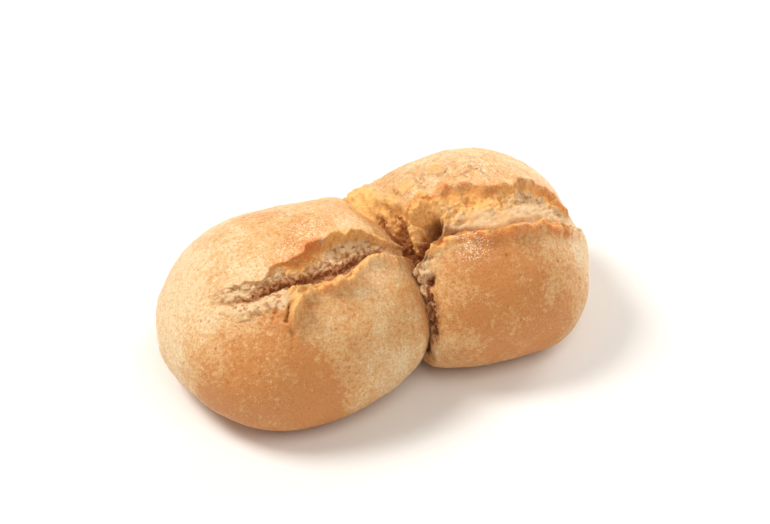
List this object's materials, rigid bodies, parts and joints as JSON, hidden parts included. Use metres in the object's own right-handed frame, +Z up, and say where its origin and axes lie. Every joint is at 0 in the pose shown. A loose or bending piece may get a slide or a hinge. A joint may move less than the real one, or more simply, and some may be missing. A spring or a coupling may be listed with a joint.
{
  "type": "bread roll",
  "caption": "Double bread roll: two round lobes baked together, slashed lengthwise, with raised crust lips, torn crumb and a flat foot to rest on.",
  "frame": {"origin": "middle of the roll's plan box, at the level of its flat foot", "axes": "+X along the roll from the larger lobe to the smaller one, +Y away from the side with the overhanging crust lip, +Z up"},
  "size_m": [0.1523, 0.088, 0.0572],
  "materials": {
    "crust": "dry golden-brown baked crust, pale cream crumb where it is torn"
  },
  "bodies": {
    "root": {"roll": "crust"}
  },
  "joints": []
}
